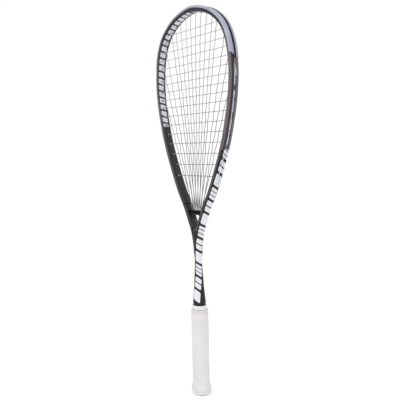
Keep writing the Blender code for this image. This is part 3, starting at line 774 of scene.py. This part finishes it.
def paint_at(place, normal, run):
    """What the paint reads at a point, in the order of PAINTED.

    run is the distance along the hoop from its top, or None below the hoop.
    """
    side = 1.0 if place.dot(VIEW) >= 0 else -1.0
    swung = Vector((place.x * side, place.y * side, place.z))
    facing = normal * side
    centre, half = lookup(BAND, place.z)
    least, least_x = BAND_FACING
    outer = facing.dot(VIEW) > least and (facing.x > least_x or place.z < BAND_SHAFT)
    inwards = normal.x * place.x + normal.z * (place.z - HEAD_CENTRE) < 0
    if run is None:
        inwards = place.z > CROTCH and normal.x * place.x < 0
    inner = inwards and abs(normal.y) < WALL_FACING
    along = run or 0.0
    deep = place.y * (1.0 if place.x > 0 else -1.0)
    far = run is not None and not inwards and place.z > BAND_TOP
    return (
        inner,
        inner and place.z > INNER_LOW and along > INNER_START,
        along / INNER_PITCH,
        (deep - INNER_CENTRE) / INNER_HALF,
        outer and place.z < BAND_TOP,
        outer and BAND_FOOT - 0.002 < place.z < BAND_TOP,
        (place.z - BAND_FOOT) / BAND_PITCH,
        (swung.dot(ACROSS) - centre) / half,
        far and deep > FAR_EDGE,
        far and DARK_EDGE[0] < deep < DARK_EDGE[1],
    )


def paint(made, rows):
    """Store what the frame's paint reads, from rows of (place, normal, run, lay)."""
    found = [paint_at(*row[:3]) for row in rows]
    for name, values in zip(PAINTED, zip(*found)):
        set_floats(made.data, name, [float(value) for value in values])
    flat = [x for row in rows for x in row[3]]
    lay = made.data.attributes.new("lay", "FLOAT_VECTOR", "POINT")
    lay.data.foreach_set("vector", flat)


def build_hoop(material):
    """Head and upper legs as one smooth moulding with its string groove."""
    line = between(hoop_line(FINE_STEP), THROAT_CUT)
    runs = [0.0]
    for a, b in zip(line, line[1:]):
        runs.append(runs[-1] + (b - a).length)
    rings = []
    rows = []
    for i, point in enumerate(line):
        normal = outward(line, i)
        section = rim_section(smoothstep(GROOVE_END - 0.004, GROOVE_END, point.y), 1.0)
        rings.append(ring_at(point, normal, section))
        run = abs(runs[i] - runs[-1] / 2)
        for k, (u, v) in enumerate(section):
            before = section[k - 1]
            after = section[(k + 1) % len(section)]
            face = Vector((after[1] - before[1], before[0] - after[0])).normalized()
            if abs(v) < GROOVE_HALF + 0.001 and u > 0:
                face = Vector((1.0, 0.0))  # the groove counts as facing outwards
            world = Vector((normal.x * face.x, face.y, normal.y * face.x))
            rows.append((rings[-1][k], world, run, (u, v, runs[i])))
    made = loft("frame_hoop", rings, material, 30)
    paint(made, rows)
    return made


def build_throat(material):
    """Legs and shaft blended into one skin, cut square where the hoop starts."""
    bm = bmesh.new()
    foot = [p for p in hoop_line(FINE_STEP) if p.y < THROAT_CUT + THROAT_LAP]
    for side in (-1, 1):
        leg = [p for p in foot if p.x * side > 0]
        add_loft(bm, [
            ring_at(p, outward(leg, i), rim_section(0.0, lookup(LEG_TAPER, p.y)[0]))
            for i, p in enumerate(leg)
        ])
    knots = (SHAFT_PROFILE[0], *SHAFT_PROFILE, SHAFT_PROFILE[-1])
    profile = curve_through(knots, 6) + [*SHAFT_FOOT]
    add_loft(bm, [oval_ring(radius, height, 48) for radius, height in profile])
    made = new_object("frame_throat", bm, 60, material)
    remesh = made.modifiers.new("skin", "REMESH")
    remesh.mode = "VOXEL"
    remesh.voxel_size = THROAT_VOXEL
    smooth = made.modifiers.new("blend", "SMOOTH")
    smooth.factor = 0.5
    smooth.iterations = 8
    mesh = evaluated_mesh(made)
    made.modifiers.clear()
    bm = bmesh.new()
    bm.from_mesh(mesh)
    bmesh.ops.bisect_plane(
        bm, geom=bm.verts[:] + bm.edges[:] + bm.faces[:], dist=0.00001,
        plane_co=(0, 0, THROAT_CUT), plane_no=(0, 0, 1), clear_outer=True,
    )
    bmesh.ops.recalc_face_normals(bm, faces=bm.faces)
    outermost = max(bm.faces, key=lambda f: f.calc_center_median().x)
    if outermost.normal.x < 0:
        bmesh.ops.reverse_faces(bm, faces=bm.faces)
    bm.to_mesh(made.data)
    bm.free()
    made.data.shade_smooth()
    paint(made, [(v.co, v.normal, None, v.co) for v in made.data.vertices])
    return made


def flatten_at(height):
    """Depth over width of the turned pieces: round at the neck, oval in the hand."""
    share = smoothstep(0.0, 1.0, (FLATTEN_FROM - height) / (FLATTEN_FROM - FLATTEN_TO))
    return 1.0 + (HANDLE_FLATTEN - 1.0) * share


# ------ bumper and grommets
def bumper_section():
    """Section of the guard as (offset, depth): a cap over the outer wall and its corners."""
    low, floor = strip_levels()
    seat = HALF_RIM + FIT
    outer = HALF_RIM + BUMPER_OUT
    side = RIM_DEPTH / 2 + 0.00045
    corner = (HALF_RIM - RIM_CORNER, RIM_DEPTH / 2 - RIM_CORNER)
    inner = RIM_CORNER + FIT
    bend = math.radians(78.0)
    radius = RIM_CORNER + 0.0003
    lip = corner[0] + inner * math.cos(bend)
    half = [(floor, 0.0010), (floor, CHANNEL_HALF - 0.0003), (floor + 0.0003, CHANNEL_HALF),
            (outer - 0.0008, CHANNEL_HALF), (outer - 0.0002, CHANNEL_HALF + 0.0003),
            (outer, CHANNEL_HALF + 0.0009)]
    half += arc((outer - radius, side - radius), radius, 0.0, math.radians(74.0), 9)
    half += [(lip + 0.0004, side - 0.0001), (lip, side - 0.0004)]
    half += arc(corner, inner, bend, 0.0, 7)
    half += [(seat, BASE_HALF), (low, BASE_HALF)]
    return half + [(u, -v) for u, v in reversed(half)]


def strip_levels():
    """Inner and outer offset of a grommet strip from the hoop's centreline."""
    inner = HALF_RIM - GROOVE_DEPTH + FIT
    return inner, inner + GAP + BASE_THICKNESS


def build_bumper(material):
    """Bumper guard, its slanted ends higher on the front lip than on the back one."""
    line = between(hoop_line(FINE_STEP), BUMPER_END)
    bm = bmesh.new()
    add_sweep(bm, line, bumper_section())
    bmesh.ops.bisect_plane(
        bm, geom=bm.verts[:] + bm.edges[:] + bm.faces[:], dist=0.000001,
        plane_co=GUARD_CUT, plane_no=GUARD_SLANT,
    )
    lost = [f for f in bm.faces if (f.calc_center_median() - GUARD_CUT).dot(GUARD_SLANT) > 0]
    bmesh.ops.delete(bm, geom=lost, context="FACES")
    bmesh.ops.holes_fill(bm, edges=[e for e in bm.edges if e.is_boundary], sides=200)
    return new_object("bumper", bm, 35, material)


def tube(bm, start, end, outer, inner, sides, flare):
    """An open grommet barrel between two points, its near end flared."""
    turn = (end - start).to_track_quat("Z", "Y")
    length = (end - start).length
    profile = [(inner, length), (outer, length), (outer, 0.0007), (outer + flare, 0.0005),
               (outer + flare, 0.0001), (outer + flare - 0.0002, 0.0), (inner + 0.0002, 0.0),
               (inner, 0.0003)]
    angles = [math.tau * k / sides for k in range(sides)]
    add_loft(bm, [
        [start + turn @ Vector((r * math.cos(a), r * math.sin(a), z)) for a in angles]
        for r, z in profile
    ], hollow=True)


def add_tips(bm, holes):
    """Round barrels through the hoop, standing slightly proud inside it."""
    for hole, depth in holes:
        axis = in_space(hole["axis"], 0.0)
        start = in_space(hole["mouth"], depth) + axis * GAP
        end = in_space(hole["leave"], depth) - axis * TIP_SUNK
        tube(bm, start, end, TIP_RADIUS, TIP_BORE, 14, 0.00035)


def build_strip(side, material):
    """Grommet strip along one side, its band and barrels moulded together."""
    line = [p for p in hoop_line(FINE_STEP) if p.x * side > 0]
    line = between(line, GROOVE_END + 0.001, STRIP_TOP)
    low, top = strip_levels()
    section = [(low, -BASE_HALF), (top - 0.0002, -BASE_HALF), (top, -BASE_HALF + 0.0002),
               (top, 0.0), (top, BASE_HALF - 0.0002), (top - 0.0002, BASE_HALF), (low, BASE_HALF)]
    bm = bmesh.new()
    add_sweep(bm, line, section)
    add_tips(bm, [(h, d) for h, d in HOLES
                  if h["leave"].y < BUMPER_END and h["leave"].x * side > 0])
    made = new_object("grommets_left" if side < 0 else "grommets_right", bm, 35, material)
    # all of the strip faces outwards, wherever along the hoop it lies
    outer = Vector((side, 0.0, 0.0))
    paint(made, [(v.co, outer, 1.0, v.co) for v in made.data.vertices])
    return made


def build_top_grommets(material):
    """The bumper's own barrels."""
    bm = bmesh.new()
    add_tips(bm, [(h, d) for h, d in HOLES if h["leave"].y >= BUMPER_END])
    return new_object("grommets_top", bm, 35, material)


# ------ the throat bridge
def leg_gap(height):
    """Half the clear width between the legs at a height."""
    return meet_hoop(Vector((0, height)), Vector((1, 0)), -HALF_RIM)[0].x


def bridge_levels(share):
    """Underside and top of the bridge, share being 0 in the middle and 1 at a leg."""
    under = BRIDGE_BOTTOM - 0.0004 - BRIDGE_ARCH * abs(share) ** 2.4
    return under, BRIDGE_TOP - 0.0004 + 0.0004 * share * share


def build_bridge(material):
    """Bridge between the legs, arched underneath and softly rounded."""
    rings = []
    half = leg_gap(BRIDGE_TOP - 0.002) + 0.0015
    for k in range(33):
        share = -1.0 + k / 16
        under, top = bridge_levels(share)
        deep = BRIDGE_HALF_DEPTH - 0.0006 * (1 - share * share)
        section = []
        for q in range(4):
            section += box_corner((deep, (top - under) / 2), BRIDGE_ROUND, q, 5)
        middle = (under + top) / 2
        rings.append([Vector((share * half, y, middle + z)) for y, z in section])
    return loft("bridge", rings, material, 40)


def build_throat_grommets(material):
    """Strip under the bridge and the barrels that come out on top of it."""
    bm = bmesh.new()
    rings = []
    half = leg_gap(BRIDGE_BOTTOM) - 0.0012
    wide = 0.0042
    for k in range(25):
        share = -1.0 + k / 12
        under = bridge_levels(share * half / (half + 0.003))[0]
        rings.append([Vector((share * half, y, z)) for y, z in (
            (-wide, under + 0.0002), (-wide, under - 0.0005), (-wide + 0.0003, under - 0.0008),
            (wide - 0.0003, under - 0.0008), (wide, under - 0.0005), (wide, under + 0.0002))])
    add_loft(bm, rings)
    for k in range(MAIN_COUNT):
        top = bridge_point(k, BRIDGE_TOP + TIP_PROUD)
        foot = bridge_point(k, BRIDGE_BOTTOM)
        tube(bm, top, foot, 0.0010, 0.00068, 12, 0.0002)
    return new_object("grommets_throat", bm, 35, material)


# ------ strings
def rounded_route(route):
    """A route with its corners eased: (point, width) pairs."""
    result = [route[0]]
    for before, here, after in zip(route, route[1:], route[2:]):
        a = before[0] - here[0]
        b = after[0] - here[0]
        if here[1] > 1.0 or min(a.length, b.length) < SHORTEST_SPAN:
            result.append(here)
            continue
        reach = min(EASED, 0.42 * a.length, 0.42 * b.length)
        start = here[0] + a.normalized() * reach
        end = here[0] + b.normalized() * reach
        for t in (0.0, 0.33, 0.67, 1.0):
            point = start * (1 - t) ** 2 + here[0] * (2 * t * (1 - t)) + end * t * t
            result.append((point, here[1]))
    return result + [route[-1]]


def build_string(name, route, material):
    """One string along its whole route, round and smooth."""
    data = bpy.data.curves.new(name, "CURVE")
    data.dimensions = "3D"
    data.fill_mode = "FULL"
    data.bevel_depth = STRING_RADIUS
    data.bevel_resolution = 2
    data.use_fill_caps = True
    spline = data.splines.new("POLY")
    spline.points.add(len(route) - 1)
    for item, (point, width) in zip(spline.points, route):
        item.co = (*point, 1.0)
        item.radius = width
    curve = add_object(name + "_line", data)
    mesh = evaluated_mesh(curve)
    bpy.data.objects.remove(curve, do_unlink=True)
    mesh.name = name
    mesh.shade_smooth()
    mesh.materials.clear()
    mesh.materials.append(material)
    set_floats(mesh, "bed", [float(within(v.co.x, v.co.z)) for v in mesh.vertices])
    return add_object(name, mesh)


def within(x, height):
    """Whether a point of the string plane lies inside the hoop's line."""
    inside = False
    for a, b in zip(FINE[::3], FINE[3::3] + [FINE[0]]):
        if (a.y > height) != (b.y > height):
            if x < a.x + (b.x - a.x) * (height - a.y) / (b.y - a.y):
                inside = not inside
    return inside


# ------ the handle
def oval_ring(radius, height, sides=TURNED_SIDES, change=None):
    """A ring of the handle, flattened front to back; change(angle, height) moves it outwards."""
    ring = []
    for k in range(sides):
        angle = math.tau * k / sides
        r = radius + (change(angle, height) if change else 0.0)
        y = r * flatten_at(height) * math.sin(angle)
        ring.append(Vector((r * math.cos(angle), y, height)))
    return ring


def turned(name, profile, material):
    """A closed piece turned about Z from its (radius, height) profile."""
    return loft(name, [oval_ring(r, z) for r, z in profile], material, 35)


def seam_at(angle, height):
    """How deep a point lies in the spiral seam between two turns of the wrap, 0 to 1."""
    turns = (height / WRAP_PITCH + angle / math.tau) % 1.0
    near = min(turns, 1.0 - turns) * WRAP_PITCH
    return math.exp(-(near / SEAM_HALF) ** 2) * smoothstep(*WRAP_FADE, height)


def wrap_change(angle, height):
    """How far the wrap stands out: each turn laps over the next and dips at the seam."""
    lap = ((height / WRAP_PITCH + angle / math.tau) % 1.0) * WRAP_STEP
    return lap * smoothstep(*WRAP_FADE, height) - SEAM_DEPTH * seam_at(angle, height)


def build_grip(material):
    """The wrap: a spiral of tape over the handle, flared over the butt."""
    top = GRIP_TOP - 0.0006
    foot = 0.0120
    steps = 190
    rings = [oval_ring(PALLET_RADIUS + GAP, GRIP_TOP, WRAP_SIDES)]
    for k in range(steps + 1):
        z = top - (top - foot) * k / steps
        flare = 1.0 - smoothstep(*FLARE_FADE, z)
        radius = GRIP_RADIUS - 0.0002 + (FLARE_RADIUS - GRIP_RADIUS + 0.0001) * flare
        radius -= 0.0006 * smoothstep(GRIP_TOP - 0.0030, GRIP_TOP, z)
        rings.append(oval_ring(radius, z, WRAP_SIDES, wrap_change))
    for less, z in ((0.0001, 0.0090), (0.0003, 0.0080), (0.0014, 0.0077)):
        rings.append(oval_ring(FLARE_RADIUS - less, z, WRAP_SIDES))
    made = loft("grip_wrap", rings, material, 40)
    seams = []
    for vert in made.data.vertices:
        x, y, z = vert.co
        seams.append(seam_at(math.atan2(y / flatten_at(z), x) % math.tau, z))
    set_floats(made.data, "seam", seams)
    return made


def build_tape(material):
    """Finishing tape: laps over the wrap's upper end and narrows towards the collar."""
    inner = PALLET_RADIUS + GAP
    return turned("tape_band", [
        (inner, GRIP_TOP + GAP), (GRIP_RADIUS - 0.0012, GRIP_TOP + GAP),
        (GRIP_RADIUS - 0.0011, GRIP_TOP - 0.0014), (GRIP_RADIUS - 0.0002, GRIP_TOP - 0.0014),
        (GRIP_RADIUS - 0.0001, GRIP_TOP - 0.0010), (GRIP_RADIUS - 0.0001, GRIP_TOP + 0.0010),
        (inner + 0.0014, PALLET_TOP - 0.0012), (inner + 0.0007, PALLET_TOP - 0.0002),
        (inner, PALLET_TOP)], material)


def build_collar(material):
    """Rubber collar, rounded at its upper edge."""
    return turned("collar", [
        (0.0113, PALLET_TOP + GAP), (0.0142, PALLET_TOP + GAP), (0.0146, PALLET_TOP + 0.0007),
        (0.0145, COLLAR_TOP - 0.0042), (0.0141, COLLAR_TOP - 0.0015),
        (0.0136, COLLAR_TOP - 0.0004), (0.0130, COLLAR_TOP), (0.0122, COLLAR_TOP - 0.0002),
        (0.0119, COLLAR_TOP - 0.0027)], material)


def build_cap(material):
    """Butt cap: a flat end, a rounded rim and a neck inside the wrap."""
    lip = FLARE_RADIUS - 0.0004
    return turned("cap", [
        (0.0002, 0.0), (lip - 0.0080, 0.0), (lip - 0.0056, 0.0001), (lip - 0.0040, 0.0007),
        (lip - 0.0024, 0.0017), (lip - 0.0011, 0.0032), (lip - 0.0003, 0.0050), (lip, 0.0068),
        (lip - 0.0003, 0.0074), (0.0174, 0.0077), (0.0168, 0.0120),
        (PALLET_RADIUS, BUTT_HEIGHT)], material)


# ------ stage
def build_stage():
    """Pale floor, soft lights and the camera."""
    bm = bmesh.new()
    bmesh.ops.create_grid(bm, x_segments=1, y_segments=1, size=6.0)
    n = Nodes("floor_paint", Roughness=0.9, Specular_IOR_Level=0.1)
    cloud = n.noise(n.object_coordinates()[0], 3.0, 2.0)
    look = n.finish(n.mix(cloud, (0.97, 0.97, 0.97), (0.985, 0.985, 0.985)))
    floor = new_object("floor", bm, 35, look)
    world = bpy.data.worlds.new("studio")
    world.use_nodes = True
    sky = world.node_tree.nodes["Background"]
    sky.inputs["Color"].default_value = (1.0, 1.0, 1.0, 1.0)
    sky.inputs["Strength"].default_value = 1.03
    bpy.context.scene.world = world
    for name, power, size, spot in LAMPS:
        data = bpy.data.lights.new(name, "AREA")
        data.energy = power
        data.size = size
        lamp = add_object(name, data)
        lamp.location = spot
        aim = Vector((0.0, 0.0, 0.35)) - Vector(spot)
        lamp.rotation_euler = aim.to_track_quat("-Z", "Y").to_euler()
    add_camera()
    bpy.context.scene.view_settings.view_transform = "Standard"


def add_camera():
    """The camera, aimed by its heading, dip and roll."""
    turn, dip, roll = map(math.radians, (CAMERA_TURN, CAMERA_DIP, CAMERA_ROLL))
    level = Vector((math.cos(turn), math.sin(turn), 0.0))
    flat = math.cos(dip)
    ahead = Vector((-math.sin(turn) * flat, math.cos(turn) * flat, -math.sin(dip)))
    upright = level.cross(ahead)
    right = level * math.cos(roll) + upright * math.sin(roll)
    above = upright * math.cos(roll) - level * math.sin(roll)
    matrix = Matrix((right, above, -ahead)).transposed().to_4x4()
    aside, height = CAMERA_TARGET
    matrix.translation = level * aside + Vector((0.0, 0.0, height)) - ahead * CAMERA_DISTANCE
    data = bpy.data.cameras.new("camera")
    data.lens = CAMERA_LENS
    data.sensor_width = 36.0
    data.dof.use_dof = False
    data.clip_start = 0.01
    camera = add_object("camera", data)
    camera.matrix_world = matrix
    bpy.context.scene.camera = camera


def settle(piece, slot, *nodes):
    """Ride on the object's one body and stand for CAD nodes; slot is not used."""
    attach(piece, "root")
    if nodes:
        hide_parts(*nodes)


def main():
    """Build every visible piece."""
    paint_look = frame_material()
    strip_look = strip_material()
    string_look = string_material()
    bridge_look = plastic(
        "bridge_black", (0.003, 0.003, 0.004), (0.006, 0.006, 0.007), 0.5, shine=0.03)
    tip_look = plastic("grommet_tips", (0.30, 0.30, 0.34), (0.40, 0.40, 0.45), 0.45)
    collar_look = plastic("collar_white", (0.60, 0.60, 0.61), (0.68, 0.68, 0.69), 0.55)
    cap_look = plastic("cap_white", (0.58, 0.58, 0.58), (0.64, 0.64, 0.64), 0.5)
    mains = rounded_route(main_route())
    crosses = rounded_route(cross_route())
    settle(build_hoop(paint_look), "frame_lacquer", "frame")
    settle(build_throat(paint_look), "frame_lacquer")
    settle(build_bridge(bridge_look), "frame_lacquer", "throat_bridge")
    settle(build_bumper(bumper_material()), "bumper_plastic", "bumper_guard")
    settle(build_top_grommets(tip_look), "bumper_plastic")
    settle(build_strip(-1, strip_look), "grommet_plastic", "grommet_strip_left")
    settle(build_strip(1, strip_look), "grommet_plastic", "grommet_strip_right")
    settle(build_throat_grommets(strip_look), "grommet_plastic", "throat_grommet_strip")
    settle(build_string("mains", mains, string_look), "string", "main_string")
    settle(build_string("crosses", crosses, string_look), "string", "cross_string")
    settle(build_grip(grip_material()), "grip_polyurethane", "grip")
    settle(build_tape(tape_material()), "finishing_tape", "finishing_tape")
    settle(build_collar(collar_look), "collar_rubber", "grip_collar")
    settle(build_cap(cap_look), "butt_cap_plastic", "butt_cap")
    foam = foam_material()
    for node in ("handle_pallet_front", "handle_pallet_back"):
        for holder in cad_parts[node].material_slots:
            holder.link = "OBJECT"
            holder.material = foam
    build_stage()


main()
